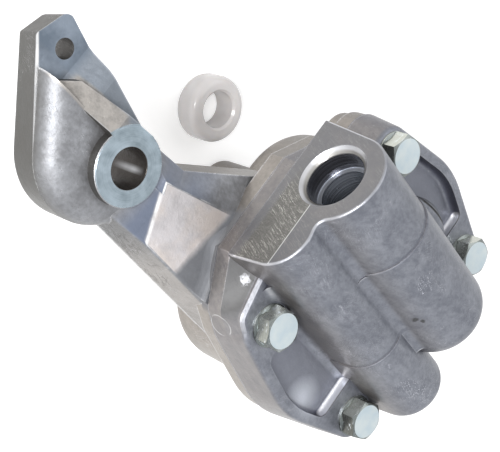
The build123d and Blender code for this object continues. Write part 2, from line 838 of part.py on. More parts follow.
with BuildPart() as idler_gear:
    with BuildSketch(Plane.XY.offset(gear_top - gear_length)):
        with Locations((pump_x, idler_y)):
            add(gear_profile(90.0 + mesh_half))
        with Locations((pump_x, idler_y)):
            Circle(shaft_d / 2 + shaft_clearance, mode=Mode.SUBTRACT)
    extrude(amount=gear_length)
idler_gear.part.label = "idler_gear"
export_step(idler_gear.part, "parts/idler_gear.step")

with BuildPart() as drive_shaft:
    with BuildSketch(Plane.XY.offset(boss_end + shaft_recess)):
        with Locations((pump_x, drive_y)):
            Circle(shaft_d / 2)
    extrude(amount=shaft_top - boss_end - shaft_recess)
    chamfer(drive_shaft.edges().group_by(Axis.Z)[-1], 0.6)
    chamfer(drive_shaft.edges().group_by(Axis.Z)[0], 0.6)
    with BuildSketch(Plane.XY.offset(boss_end + shaft_recess)):
        with Locations((pump_x, drive_y)):
            Rectangle(shaft_slot_w, 2 * shaft_d)
    extrude(amount=shaft_slot_depth, mode=Mode.SUBTRACT)
drive_shaft.part.label = "drive_shaft"
export_step(drive_shaft.part, "parts/drive_shaft.step")

with BuildPart() as idler_shaft:
    with BuildSketch(Plane.XY.offset(pocket_floor - idler_seat_depth)):
        with Locations((pump_x, idler_y)):
            Circle(shaft_d / 2)
    extrude(amount=shaft_top - pocket_floor + idler_seat_depth)
    chamfer(idler_shaft.edges().group_by(Axis.Z)[-1], 0.6)
idler_shaft.part.label = "idler_shaft"
export_step(idler_shaft.part, "parts/idler_shaft.step")

# ---------------------------------------------------------------- relief valve
valve_line = Axis((0, relief_lobe_y, relief_lobe_z), (1, 0, 0))
valve_plane = Plane((0, relief_lobe_y, relief_lobe_z), x_dir=(1, 0, 0), z_dir=(0, -1, 0))

with BuildPart() as relief_valve:
    with BuildSketch(valve_plane):
        Polygon(
            (valve_x, 0),
            (valve_x, valve_r - 1.0),
            (valve_x + 1.0, valve_r),
            (valve_x + valve_length, valve_r),
            (valve_x + valve_length, valve_r - valve_wall),
            (valve_x + valve_head, valve_r - valve_wall),
            (valve_x + valve_head, 0),
            align=None,
        )
    revolve(axis=valve_line)
relief_valve.part.label = "relief_valve"
export_step(relief_valve.part, "parts/relief_valve.step")

spring_x = valve_x + valve_head + spring_wire_d / 2 + spring_end_gap
spring_len = washer_x - spring_end_gap - spring_wire_d / 2 - spring_x
with BuildPart() as relief_spring:
    with BuildLine():
        coil = Helix(
            pitch=spring_len / spring_turns,
            height=spring_len,
            radius=spring_r,
            center=(spring_x, relief_lobe_y, relief_lobe_z),
            direction=(1, 0, 0),
        )
    with BuildSketch(Plane(origin=coil @ 0, z_dir=coil % 0)):
        RegularPolygon(spring_wire_d / 2, 8)
    sweep()
relief_spring.part.label = "relief_spring"
export_step(relief_spring.part, "parts/relief_spring.step")

with BuildPart() as spring_washer:
    with BuildSketch(Plane.YZ.offset(washer_x)):
        with Locations((relief_lobe_y, relief_lobe_z)):
            Circle(valve_r - 0.2)
            Circle(washer_hole_d / 2, mode=Mode.SUBTRACT)
    extrude(amount=washer_thickness)
spring_washer.part.label = "spring_washer"
export_step(spring_washer.part, "parts/spring_washer.step")

with BuildPart() as retaining_pin:
    with BuildSketch(Plane.XZ.offset(-(relief_lobe_y + relief_lobe_r - pin_sink))):
        with Locations((pin_x, relief_lobe_z)):
            Circle(pin_d / 2)
    extrude(amount=pin_length - pin_sink)
retaining_pin.part.label = "retaining_pin"
export_step(retaining_pin.part, "parts/retaining_pin.step")

# ---------------------------------------------------------------- shaft retainer
with BuildPart() as shaft_retainer:
    with BuildSketch(Plane.XZ.offset(-retainer_y)):
        with BuildLine():
            Polyline(
                (retainer_x + retainer_bore_d / 2, boss_end),
                (retainer_x + retainer_d / 2, boss_end),
                (retainer_x + retainer_d / 2, boss_end + retainer_h),
                (retainer_x + retainer_bore_d / 2, boss_end + retainer_h),
                close=True,
            )
        make_face()
    revolve(axis=Axis((retainer_x, retainer_y, 0), (0, 0, 1)))
    rims = shaft_retainer.edges().filter_by(GeomType.CIRCLE)
    fillet(rims.filter_by(lambda e: e.radius > retainer_bore_d / 2 + 1.0), retainer_edge_r)
    mouths = shaft_retainer.edges().filter_by(GeomType.CIRCLE)
    chamfer(mouths.filter_by(lambda e: e.radius < retainer_bore_d / 2 + 0.1), retainer_mouth)
shaft_retainer.part.label = "shaft_retainer"
export_step(shaft_retainer.part, "parts/shaft_retainer.step")
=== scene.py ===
import bpy
from mathutils import Matrix, Vector


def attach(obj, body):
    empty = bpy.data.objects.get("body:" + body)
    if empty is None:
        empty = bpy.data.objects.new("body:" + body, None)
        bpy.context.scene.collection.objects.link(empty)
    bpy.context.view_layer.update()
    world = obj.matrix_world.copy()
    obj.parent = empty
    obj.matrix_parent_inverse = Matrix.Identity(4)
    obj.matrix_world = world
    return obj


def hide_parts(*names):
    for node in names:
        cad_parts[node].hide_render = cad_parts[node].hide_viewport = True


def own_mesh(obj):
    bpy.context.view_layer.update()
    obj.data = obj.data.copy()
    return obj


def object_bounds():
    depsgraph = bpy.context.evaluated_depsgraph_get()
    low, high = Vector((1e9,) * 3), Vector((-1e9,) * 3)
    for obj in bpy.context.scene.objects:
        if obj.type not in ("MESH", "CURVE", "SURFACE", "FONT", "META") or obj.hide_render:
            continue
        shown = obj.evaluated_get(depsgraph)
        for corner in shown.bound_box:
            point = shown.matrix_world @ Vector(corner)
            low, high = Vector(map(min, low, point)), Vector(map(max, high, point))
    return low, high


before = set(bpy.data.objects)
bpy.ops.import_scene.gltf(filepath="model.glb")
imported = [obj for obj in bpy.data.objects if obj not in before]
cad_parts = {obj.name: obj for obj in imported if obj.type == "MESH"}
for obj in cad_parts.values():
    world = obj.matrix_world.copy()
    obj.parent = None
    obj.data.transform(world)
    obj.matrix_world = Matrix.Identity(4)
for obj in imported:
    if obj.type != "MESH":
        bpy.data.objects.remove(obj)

cadLow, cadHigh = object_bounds()
mm = 0.001


# ---- camera
cameraView = {
    "place": (-0.157745, -0.065689, 0.238393),
    "right": (0.49969, 0.57320, 0.64942),
    "up": (-0.57973, 0.77837, -0.24094),
    "back": (-0.64360, -0.25609, 0.72125),
    "lens": 87.44,
    "sensor": 36,
    "clip": (0.01, 20),
}


def makeCamera(view):
    data = bpy.data.cameras.new("camera")
    data.lens, data.sensor_width = view["lens"], view["sensor"]
    data.clip_start, data.clip_end = view["clip"]
    camera = bpy.data.objects.new("camera", data)
    bpy.context.scene.collection.objects.link(camera)
    turn = Matrix((view["right"], view["up"], view["back"])).transposed()
    camera.matrix_world = Matrix.Translation(view["place"]) @ turn.to_4x4()
    bpy.context.scene.camera = camera


makeCamera(cameraView)
print("camera ready")


# ---- shader maths
class Wire:
    def __init__(self, paint, socket):
        self.paint, self.socket = paint, socket

    def math(self, operation, other=None, swap=False):
        first, second = (other, self) if swap else (self, other)
        values = {0: first} if other is None else {0: first, 1: second}
        return self.paint.add("ShaderNodeMath", {"operation": operation}, values)

    def __add__(self, other): return self.math("ADD", other)
    def __radd__(self, other): return self.math("ADD", other, True)
    def __sub__(self, other): return self.math("SUBTRACT", other)
    def __rsub__(self, other): return self.math("SUBTRACT", other, True)
    def __mul__(self, other): return self.math("MULTIPLY", other)
    def __rmul__(self, other): return self.math("MULTIPLY", other, True)
    def __truediv__(self, other): return self.math("DIVIDE", other)
    def __rtruediv__(self, other): return self.math("DIVIDE", other, True)
    def __pow__(self, other): return self.math("POWER", other)
    def __abs__(self): return self.math("ABSOLUTE")

    def held(self):  # kept between 0 and 1
        return self.paint.add("ShaderNodeClamp", {}, {"Value": self})

    def rise(self, start, end):  # 0 at start, 1 at end
        return ((self - start) / (end - start)).held()

    def band(self, start, full, last, end):  # up from start to full, down from last to end
        return self.rise(start, full) * self.rise(end, last)

    def line(self, place, outer, inner):  # 1 within inner of a place, 0 beyond outer
        return abs(self - place).rise(outer, inner)


class Paint:
    def __init__(self, name):
        self.material = bpy.data.materials.new(name)
        self.material.use_nodes = True
        self.tree = self.material.node_tree
        self.tree.nodes.clear()
        self.shader = self.tree.nodes.new("ShaderNodeBsdfPrincipled")
        output = self.tree.nodes.new("ShaderNodeOutputMaterial")
        self.tree.links.new(self.shader.outputs[0], output.inputs[0])
        # noise takes places in metres, the zones take them in millimetres
        self.place = self.add("ShaderNodeTexCoord", {}, {}, "Object")
        scaling = {"operation": "SCALE"}
        self.placeMm = self.add("ShaderNodeVectorMath", scaling, {0: self.place, "Scale": 1 / mm})
        self.x, self.y, self.z = self.split(self.placeMm)
        self.facing = self.add("ShaderNodeNewGeometry", {}, {}, "Normal")
        self.nx, self.ny, self.nz = self.split(self.facing)
        self.axes = {"x": self.x, "y": self.y, "z": self.z}
        self.axes.update({"nx": self.nx, "ny": self.ny, "nz": self.nz})

    def add(self, kind, settings, values, out=0):
        node = self.tree.nodes.new(kind)
        for key, value in settings.items():
            setattr(node, key, value)
        for key, value in values.items():
            self.feed(node.inputs[key], value)
        return Wire(self, node.outputs[out])

    def feed(self, socket, value):
        if isinstance(value, Wire):
            self.tree.links.new(value.socket, socket)
        elif socket.type == "RGBA" and len(value) == 3:
            socket.default_value = (*value, 1)
        else:
            socket.default_value = value

    def split(self, vector):
        node = self.tree.nodes.new("ShaderNodeSeparateXYZ")
        self.tree.links.new(vector.socket, node.inputs[0])
        return [Wire(self, socket) for socket in node.outputs]

    def noise(self, scale, detail=3.0, rough=0.55, vector=None):
        values = {"Scale": scale, "Detail": detail, "Roughness": rough}
        values["Vector"] = vector or self.place
        return self.add("ShaderNodeTexNoise", {}, values, "Fac")

    def cells(self, scale):
        values = {"Vector": self.place, "Scale": scale}
        return self.add("ShaderNodeTexVoronoi", {}, values, "Distance")

    def stretched(self, turn, size):  # places turned and scaled for grain and scratches
        values = {"Vector": self.place, "Rotation": turn, "Scale": size}
        return self.add("ShaderNodeMapping", {"vector_type": "TEXTURE"}, values)

    def turned(self, along, scale, detail):  # rings left by a tool, along one distance
        vector = self.add("ShaderNodeCombineXYZ", {}, {"X": along * mm, "Y": 0.0, "Z": 0.0})
        return self.noise(scale, detail, 0.6, vector)

    def mix(self, share, low, high):
        settings = {"data_type": "RGBA", "blend_type": "MIX", "clamp_factor": True}
        return self.add("ShaderNodeMix", settings, {0: share, 6: low, 7: high}, 2)

    def gap(self, centre):  # distance from one point
        values = {0: self.placeMm, 1: centre}
        return self.add("ShaderNodeVectorMath", {"operation": "DISTANCE"}, values, "Value")

    def spot(self, centre, size):  # a soft ragged ball round one point
        ragged = (self.noise(900, 3) - 0.5) * size
        return (self.gap(centre) + ragged).rise(size, size * 0.5)

    def masks(self, zones):  # where all of a zone's ranges hold: (start, full, last, end)
        found = {}
        for name, limits in zones.items():
            for axis, limit in limits.items():
                wire = self.axes[axis]
                part = wire.band(*limit) if len(limit) == 4 else wire.rise(*limit)
                found[name] = found[name] * part if name in found else part
        return found

    def set(self, name, value):
        self.feed(self.shader.inputs[name], value)

    def bump(self, height, depth):
        values = {"Height": height, "Distance": depth, "Strength": 1.0}
        self.set("Normal", self.add("ShaderNodeBump", {}, values))


def away(p, q, centre):  # distance from an axis through centre
    return ((p - centre[0]) ** 2 + (q - centre[1]) ** 2) ** 0.5


def wear(node, material):
    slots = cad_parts[node].data.materials
    slots.clear()
    slots.append(material)


# ---- castings: what the body and the cover share
castShared = {
    "cloud": 38,  # sizes of the mottling, per metre
    "patch": 150,
    "mottle": 420,
    "speck": 1300,
    "scratches": (((0.3, 0.2, 0.9), 60), ((0.1, 0.1, -0.6), 45), ((0.9, 0.4, 0.2), 80)),
    "scratch": (0.66, 0.66, 0.69),
    "seam": (0.03, 0.03, 0.03),
    "hollowReach": 7 * mm,
    "edgeRadius": 0.8 * mm,
    "relief": 0.12 * mm,
    "shares": {  # how far each tone covers the casting's own
        "farSide": 0.55, "hollow": 0.80, "step": 0.5, "speck": 0.6, "scratch": 0.5, "seam": 0.7,
    },
    "zones": {  # ranges of x, y and z in millimetres, and of the surface's direction
        "top": {"nz": (0.05, 0.80)},
        "pumpEnd": {"x": (14, 30)},
        "farSide": {"ny": (0.1, 0.7)},
        "pickupStep": {"x": (56.5, 57.0, 57.8, 58.3), "y": (18, 21)},
        "reliefStep": {"x": (81.5, 82.0, 82.8, 83.3), "y": (21, 18)},
        "lobes": {"z": (29.5, 31)},
        "pocketWall": {"z": (24.8, 25.4, 28.6, 29.2)},
        "seam": {"z": (17.28, 17.40, 17.60, 17.72)},
    },
}


def scratches(paint, turn, spread):
    streak = paint.noise(330, 1, 0.4, paint.stretched(turn, (1.0, 0.045, 1.0)))
    return streak.line(0.62, 0.010, 0.002) * paint.noise(spread, 2).rise(0.56, 0.62)


def castPaint(name, look, shared):
    paint = Paint(name)
    mask = paint.masks(shared["zones"])
    share, stain, worn = shared["shares"], look["stain"], look["worn"]
    cloud = paint.noise(shared["cloud"], 5, 0.6)
    patch = paint.noise(shared["patch"], 4, 0.6)
    mottle = paint.noise(shared["mottle"], 4, 0.65)
    grain = paint.noise(look["grain"], 4, 0.7)
    # sides and tops tinted by their facing as a painted reflection, cool and a little paler on the
    # tops and warm on the sides, with painted shade on the head's side walls and the far sides, and
    # the mottling over both
    up = mask["top"]
    side = paint.mix(mask["pumpEnd"], look.get("headSide", look["side"]), look["side"])
    side = paint.mix(mask["farSide"] * share["farSide"], side, stain)
    colour = paint.mix(up, side, look["top"])
    shade = (cloud * 1.5 + patch * 1.3 + mottle * 1.4 + grain * 1.9 - 2.55).held()
    pale = paint.mix(up * 0.10 + 0.03, colour, worn)
    colour = paint.mix(shade, paint.mix(0.34, colour, stain), pale)
    # painted shade in the hollows, but little of it at the small steps of the lobes
    steps = mask["pickupStep"] + mask["reliefStep"]
    smooth = 1 - (steps * mask["lobes"]).held()
    quiet = smooth * (1 - mask["pocketWall"])
    sensing = {"samples": 8, "only_local": True}
    reach = {"Distance": shared["hollowReach"]}
    hollow = paint.add("ShaderNodeAmbientOcclusion", sensing, reach, "AO")
    dirt = hollow.rise(0.80, 0.25) * share["hollow"] * (smooth * 0.7 + 0.3)
    colour = paint.mix(dirt, colour, stain)
    # edges lightened, partly as wear and partly as a painted highlight, more on the tops
    eased = paint.add("ShaderNodeBevel", {"samples": 8}, {"Radius": shared["edgeRadius"]})
    turning = {0: eased, 1: paint.facing}
    edge = paint.add("ShaderNodeVectorMath", {"operation": "DOT_PRODUCT"}, turning, "Value")
    edge = edge.rise(0.99, 0.92) * hollow.rise(0.60, 0.80) * (quiet * 0.9 + 0.1)
    colour = paint.mix(edge * (mottle + 0.30).held() * (up * 0.5 + 0.5), colour, worn)
    colour = paint.mix((1 - smooth) * patch * share["step"], colour, stain)
    # pits and scratches
    speck = paint.cells(shared["speck"]).rise(0.20, 0.04)
    speck = speck * paint.noise(300, 2).rise(0.50, 0.60)
    colour = paint.mix(speck * share["speck"], colour, stain)
    lines = sum(scratches(paint, turn, spread) for turn, spread in shared["scratches"]).held()
    colour = paint.mix(lines * share["scratch"], colour, shared["scratch"])
    colour = paint.mix(mask["seam"] * share["seam"], colour, shared["seam"])
    rough = patch * 0.18 + grain * 0.16 + look["rough"] - 0.17 - edge * 0.12 + (1 - smooth) * 0.3
    height = grain * 0.6 + mottle * 0.7 + patch * 0.6 + cloud * 1.2 - lines * 0.25 - speck * 0.4
    return paint, colour, rough, height


def finishCast(paint, colour, rough, metal, height, depth):
    paint.set("Base Color", colour)
    paint.set("Roughness", rough)
    paint.set("Metallic", metal)
    paint.bump(height, depth)
    return paint.material


# ---- pump body
bodyLook = {
    "top": (0.245, 0.253, 0.272),
    "side": (0.270, 0.245, 0.220),
    "headSide": (0.070, 0.069, 0.064),
    "stain": (0.085, 0.080, 0.076),
    "worn": (0.66, 0.67, 0.70),
    "grain": 800.0,
    "rough": 0.40,
    "metal": 0.70,
    "boss": (0.365, 0.445, 0.505),
    "bossDark": (0.180, 0.225, 0.255),
    "bore": (0.040, 0.034, 0.030),
    "boreLight": (0.430, 0.435, 0.450),
    "tip": (0.110, 0.140, 0.180),
    "tipPale": (0.215, 0.255, 0.310),
    "root": (0.105, 0.110, 0.122),
    "rib": (0.300, 0.280, 0.258),
    "ribDull": (0.130, 0.122, 0.112),
    "valley": (0.140, 0.168, 0.235),
    "neck": (0.720, 0.690, 0.705),
    "neckWarm": (0.730, 0.660, 0.620),
    "neckDull": (0.460, 0.440, 0.450),
    "shelf": (0.150, 0.178, 0.212),
    "bright": (0.86, 0.86, 0.86),
    "sizes": {  # of the mottling in each zone, per metre
        "border": 220, "rib": 330, "tip": 95, "neck": 70, "neckDull": 210, "boss": 300,
        "lathe": 3000, "flow": 190, "flowBreak": 90, "lip": 300, "crest": 200,
    },
    "shares": {
        "shelf": 0.7, "rib": 0.85, "ribDull": 0.6, "tip": 0.85, "valley": 0.85, "neck": 0.85,
        "neckDull": 0.5, "root": 0.8, "boss": 0.85, "bossDark": 2.2, "flow": 0.55,
    },
    "sway": 1.6,  # how far the zones' borders wander, in millimetres
    "zones": {
        "neck": {"nz": (0.93, 0.985), "zSway": (15.15, 15.4), "x": (11, 12)},
        "valley": {"nz": (0.6, 0.9), "z": (15.45, 15.2), "x": (7, 12, 20, 28)},
        "tip": {"nz": (0.5, 0.95), "xSway": (-19, -25), "z": (9.6, 8.4)},
        "shelf": {"nz": (0.2, 0.6), "y": (6.9, 7.6), "x": (8, 4)},
        "rib": {"nz": (0.4, 0.7), "ySway": (2.2, 2.6), "y": (8.6, 7.8), "x": (-8, -10)},
        "ribTop": {"z": (8.6, 9.4)},
        "root": {"slant": (31, 33), "z": (14.9, 15.3), "y": (16, 13), "x": (46, 44)},
        "faced": {"z": (16.35, 16.45), "ring": (10.6, 10.4)},
        "bore": {"ring": (5.2, 5.1)},
        "glint": {"gleam": (0.20, 0.02), "z": (3, 11, 12, 15.5)},
        "nearWall": {"ny": (-0.7, -0.95), "x": (-2, 8, 34, 42), "z": (14, 11)},
        "lip": {"nz": (0.80, 0.95), "diagonal": (-26.8, -27.3), "z": (7.9, 8.1, 9.0, 9.5)},
        "crest": {"nz": (0.7, 0.9), "z": (15.22, 15.29, 15.39, 15.46), "x": (6, 9, 23, 27)},
        "head": {"x": (-6, -12)},
    },
}


def bodyPaint(look, shared):
    paint, colour, rough, height = castPaint("castBody", look, shared)
    x, y, z = paint.x, paint.y, paint.z
    size, share = look["sizes"], look["shares"]
    ring = away(x, y, (0, 0))
    lathe = paint.turned(ring, size["lathe"], 3)
    wobble = (paint.noise(size["border"], 3) - 0.5) * look["sway"]
    paint.axes.update({
        "xSway": x + wobble,
        "ySway": y + wobble * 0.3,
        "zSway": z + wobble * 0.1,
        "slant": x - y * 0.12 + wobble,
        "diagonal": x + y,
        "ring": ring,
        "gleam": abs(paint.ny + 0.42 + (lathe - 0.5) * 0.9),
    })
    mask = paint.masks(look["zones"])
    root, faced = mask["root"], mask["faced"]
    # each zone has its own tone where the metal was cast, ground or faced; the valley and the
    # neck's root are painted shade
    colour = paint.mix(mask["shelf"] * share["shelf"], colour, look["shelf"])
    dull = paint.noise(size["rib"], 5, 0.7).rise(0.45, 0.65)
    rib = paint.mix(dull * share["ribDull"], look["rib"], look["ribDull"])
    colour = paint.mix(mask["rib"] * mask["ribTop"] * share["rib"], colour, rib)
    drift = paint.noise(size["tip"], 4, 0.6).rise(0.42, 0.62)
    tip = paint.mix(drift, look["tip"], look["tipPale"])
    colour = paint.mix(mask["tip"] * share["tip"], colour, tip)
    colour = paint.mix(mask["valley"] * share["valley"], colour, look["valley"])
    warm = paint.noise(size["neck"], 4, 0.6).rise(0.42, 0.60)
    neck = paint.mix(warm, look["neck"], look["neckWarm"])
    dull = paint.noise(size["neckDull"], 5, 0.65).rise(0.50, 0.68)
    neck = paint.mix(dull * share["neckDull"], neck, look["neckDull"])
    colour = paint.mix(mask["neck"] * (1 - root) * share["neck"], colour, neck)
    colour = paint.mix(root * share["root"], colour, look["root"])
    # the faced ring round the mounting bore, and the bore, painted dark as shade with a painted
    # glint
    colour = paint.mix(faced * share["boss"], colour, look["boss"])
    cut = (lathe * 0.5 + paint.noise(size["boss"], 4) - 0.55).held()
    colour = paint.mix(faced * cut * share["bossDark"], colour, look["bossDark"])
    bore = paint.mix(mask["glint"], look["bore"], look["boreLight"])
    colour = paint.mix(mask["bore"], colour, bore)
    # flow marks down the near wall of the neck
    along = paint.stretched((0, 0.25, 0), (1.0, 1.0, 0.35))
    crease = paint.noise(size["flow"], 5, 0.6, along).line(0.5, 0.030, 0.004)
    crease = crease * mask["nearWall"] * paint.noise(size["flowBreak"], 2).rise(0.46, 0.56)
    colour = paint.mix(crease * share["flow"], colour, look["stain"])
    # painted highlights: thin bright lines along the tip's near edge and where the neck's flat top
    # begins
    lip = mask["lip"] * (paint.noise(size["lip"], 3) + 0.35).held()
    crest = mask["crest"] * paint.noise(size["crest"], 3).rise(0.35, 0.6)
    colour = paint.mix((lip + crest).held(), colour, look["bright"])
    rough = rough * (1 - faced * 0.2) + mask["head"] * 0.10 + root * 0.25
    height = height * (1 - faced * 0.6) + lathe * faced * 0.15 - crease * 1.2
    metal = look["metal"] - root * 0.5
    return finishCast(paint, colour, rough, metal, height, shared["relief"])


wear("pump_body", bodyPaint(bodyLook, castShared))
print("body painted")


# ---- pump cover
coverLook = {
    "top": (0.190, 0.203, 0.236),
    "side": (0.205, 0.190, 0.180),
    "stain": (0.066, 0.070, 0.092),
    "worn": (0.62, 0.63, 0.67),
    "grain": 850.0,
    "rough": 0.38,
    "metal": 0.72,
    "milled": (0.112, 0.108, 0.098),
    "millMark": (0.42, 0.41, 0.38),
    "stroke": (0.66, 0.65, 0.60),
    "ridge": (0.66, 0.66, 0.65),
    "faced": (0.128, 0.130, 0.138),
    "mouth": (0.330, 0.322, 0.310),
    "mouthDim": (0.165, 0.158, 0.148),
    "ring": (0.030, 0.030, 0.036),
    "ringLight": (0.200, 0.205, 0.235),
    "shoulder": (0.55, 0.60, 0.70),
    "seat": (0.62, 0.64, 0.68),
    "pocket": (0.190, 0.200, 0.238),
    "pocketWall": (0.085, 0.090, 0.125),
    "pocketEnd": (0.80, 0.81, 0.86),
    "rubbed": (0.62, 0.65, 0.72),
    "slit": (0.015, 0.015, 0.015),
    "corner": (0.062, 0.061, 0.060),
    "rim": (0.66, 0.67, 0.71),
    "brow": (0.72, 0.73, 0.77),
    "pit": (0.05, 0.05, 0.05),
    "pinMark": (0.60, 0.60, 0.60),
    "sizes": {
        "mill": 700, "rings": 3200, "stain": 120, "stroke": 240, "strokeBreak": 110,
        "mouth": 260, "rim": 130, "flake": 480, "pinBreak": 160,
    },
    "shares": {
        "pocket": 0.7, "pocketWall": 0.8, "pocketEnd": 0.85, "rubbed": 0.7, "milled": 0.8,
        "millMark": 0.5, "ridge": 0.8, "seat": 0.5, "corner": 0.90, "rim": 0.75, "brow": 0.85,
        "pit": 0.85, "pinMark": 0.5,
    },
    "sway": 5.0,  # places and radii from here on are in millimetres
    "boreAxis": (30.7, 36.2),
    "rubbedAt": (83.5, -10.8, 25.5),
    "rubbedReach": (7, 1),
    "flakeAt": (41.6, -0.2, 25.2),
    "flakeReach": (1.9, 0.9),
    "flakeRagged": 9,
    "pits": (((79.2, 20.1, 45.9), 1.1), ((80.6, 21.1, 47.1), 0.9)),
    "pinAt": (48.2, -11.6, 20.9),
    "pinRadius": 3.2,
    "pinLine": (0.22, 0.06),
    "slitLine": {"x": 83.0, "y": 52.0, "sag": 1.2, "half": 10.0},
    "zones": {
        "face": {"x": (34.72, 34.62), "nx": (-0.8, -0.9)},
        "cutter": {"zFine": (36.0, 35.8), "yFine": (31, 24), "zSway": (25.0, 25.6)},
        "ridge": {"z": (35.74, 35.84, 35.96, 36.06), "y": (22.5, 21.5)},
        "reamed": {"out": (7.95, 7.88), "x": (56.0, 55.5), "z": (24, 26)},
        "shoulder": {"x": (41.3, 41.45)},
        "seat": {"x": (41.32, 41.40, 41.50, 41.58)},
        "mouth": {"out": (7.80, 7.88, 9.42, 9.5), "x": (34.50, 34.56, 36.2, 36.4)},
        "lit": {"z": (42, 31), "y": (24, 29)},
        "pocket": {"nz": (0.95, 0.99), "z": (25.0, 25.3, 25.9, 26.2)},
        "pocketEnd": {"nx": (-0.55, -0.8), "z": (25.55, 25.8, 28.0, 28.4), "x": (86, 88)},
        "pocketWall": {
            "nz": (0.97, 0.80), "nx": (-0.7, -0.5), "inward": (-0.45, -0.20),
            "x": (58, 62, 93.5, 94.5), "z": (25.52, 25.7, 28.2, 28.45),
        },
        "slit": {"offSlit": (0.42, 0.25), "x": (72, 74, 86, 88), "z": (28.6, 28.9)},
        "rim": {"x": (35.5, 35.1), "nx": (-0.12, -0.45, -0.90, -0.995), "z": (22.9, 24)},
        "rimNear": {"y": (4, 14)},
        "rimLow": {"z": (45, 38)},
        "corner": {"x": (48, 46), "y": (4, 3), "z": (18.5, 21, 26.6, 27.4), "nz": (0.15, 0.45)},
        "brow": {"x": (52, 48), "y": (2.6, 1.5), "z": (26.9, 27.1), "nz": (0.45, 0.60, 0.85, 0.97)},
    },
}


def coverPaint(look, shared):
    paint, colour, rough, height = castPaint("castCover", look, shared)
    x, y, z = paint.x, paint.y, paint.z
    size, share = look["sizes"], look["shares"]
    out = away(y, z, look["boreAxis"])
    along = paint.stretched((0.06, 0, 0), (1.0, 0.045, 1.0))
    millLines = paint.noise(size["mill"], 2, 0.6, along)
    wobble = (millLines - 0.5) * look["sway"]
    slit = look["slitLine"]
    paint.axes.update({
        "zFine": z + wobble * 0.1,
        "yFine": y - wobble * 0.4,
        "zSway": z + wobble,
        "out": out,
        "inward": paint.ny * (y.rise(20, 18) * 2 - 1),
        "offSlit": abs(y - slit["y"] + ((x - slit["x"]) / slit["half"]) ** 2 * slit["sag"]),
    })
    mask = paint.masks(look["zones"])
    # the machined face, the cutter's marks and the ridge where it stopped
    face, reamed = mask["face"], mask["reamed"]
    cutter = face * mask["cutter"]
    colour = paint.mix(mask["pocket"] * share["pocket"], colour, look["pocket"])
    stainOn = paint.noise(size["stain"], 4, 0.6).rise(0.45, 0.65)
    colour = paint.mix(face * (0.75 - stainOn * 0.25), colour, look["faced"])
    colour = paint.mix(cutter * share["milled"], colour, look["milled"])
    marks = cutter * millLines.rise(0.55, 0.68)
    colour = paint.mix(marks * share["millMark"], colour, look["millMark"])
    along = paint.stretched((0.45, 0, 0), (1.0, 0.06, 1.0))
    stroke = paint.noise(size["stroke"], 2, 0.5, along).line(0.6, 0.020, 0.004)
    stroke = stroke * paint.noise(size["strokeBreak"], 2).rise(0.45, 0.58)
    colour = paint.mix(face * stroke * (cutter * 0.6 + 0.2), colour, look["stroke"])
    colour = paint.mix(face * mask["ridge"] * share["ridge"], colour, look["ridge"])
    # the reamed bore painted dark as shade, with tool rings on its shoulder and a painted highlight
    # on the seat, and the countersunk mouth with painted light on one side
    rings = paint.turned(out + x, size["rings"], 2)
    bore = paint.mix(rings.rise(0.45, 0.65), look["ring"], look["ringLight"])
    colour = paint.mix(reamed, colour, bore)
    shoulder = reamed * mask["shoulder"] * (rings.rise(0.40, 0.60) * 0.55 + 0.15)
    colour = paint.mix(shoulder, colour, look["shoulder"])
    colour = paint.mix(reamed * mask["seat"] * share["seat"], colour, look["seat"])
    lit = mask["lit"] + paint.noise(size["mouth"], 3) * 0.5 - 0.2
    lit = (lit + (rings - 0.5) * 0.9).held()
    colour = paint.mix(mask["mouth"], colour, paint.mix(lit, look["mouthDim"], look["mouth"]))
    rough = rough * (1 - reamed * 0.35) + cutter * 0.08
    height = height * (1 - reamed) * (1 - face * 0.5)
    height = height + millLines * face * 0.35 + rings * reamed * 0.2
    # pockets: painted shade on the walls, a painted highlight on the end walls and a painted
    # highlight on the floor
    rubbed = paint.gap(look["rubbedAt"]).rise(*look["rubbedReach"])
    colour = paint.mix(mask["pocketWall"] * share["pocketWall"], colour, look["pocketWall"])
    colour = paint.mix(mask["pocketEnd"] * share["pocketEnd"], colour, look["pocketEnd"])
    colour = paint.mix(rubbed * share["rubbed"], colour, look["rubbed"])
    # painted shadow: a black line in the crease at the foot of the pickup lobe
    colour = paint.mix(mask["slit"], colour, look["slit"])
    # a painted highlight along the rim of the face, painted shade on the corner beside the near
    # bolt, and painted highlights on its brow and on a small facet
    rim = mask["rimNear"] * 0.35 + 0.20 + paint.noise(size["rim"], 3) * 0.4
    rim = mask["rim"] * rim * (mask["rimLow"] * 0.6 + 0.4)
    corner, brow = mask["corner"], mask["brow"]
    ragged = abs(paint.noise(size["flake"], 2) - 0.5) * look["flakeRagged"]
    flake = (paint.gap(look["flakeAt"]) + ragged).rise(*look["flakeReach"])
    colour = paint.mix(corner * share["corner"], colour, look["corner"])
    colour = paint.mix(rim * share["rim"], colour, look["rim"])
    bright = (brow * 0.35 + flake * 0.8).held()
    colour = paint.mix(bright * share["brow"], colour, look["brow"])
    rough = rough + corner * 0.15 + brow * 0.10
    # two small pits in the top lobe and the round mark of an ejector pin
    pits = sum(paint.spot(centre, across) for centre, across in look["pits"])
    colour = paint.mix(pits.held() * share["pit"], colour, look["pit"])
    pinMark = paint.gap(look["pinAt"]).line(look["pinRadius"], *look["pinLine"])
    pinMark = pinMark * paint.noise(size["pinBreak"], 2).rise(0.38, 0.5)
    colour = paint.mix(pinMark * share["pinMark"], colour, look["pinMark"])
    height = height - pits * 0.8 - pinMark * 0.4
    metal = look["metal"] - corner * 0.62
    return finishCast(paint, colour, rough, metal, height, shared["relief"])


wear("pump_cover", coverPaint(coverLook, castShared))
print("cover painted")


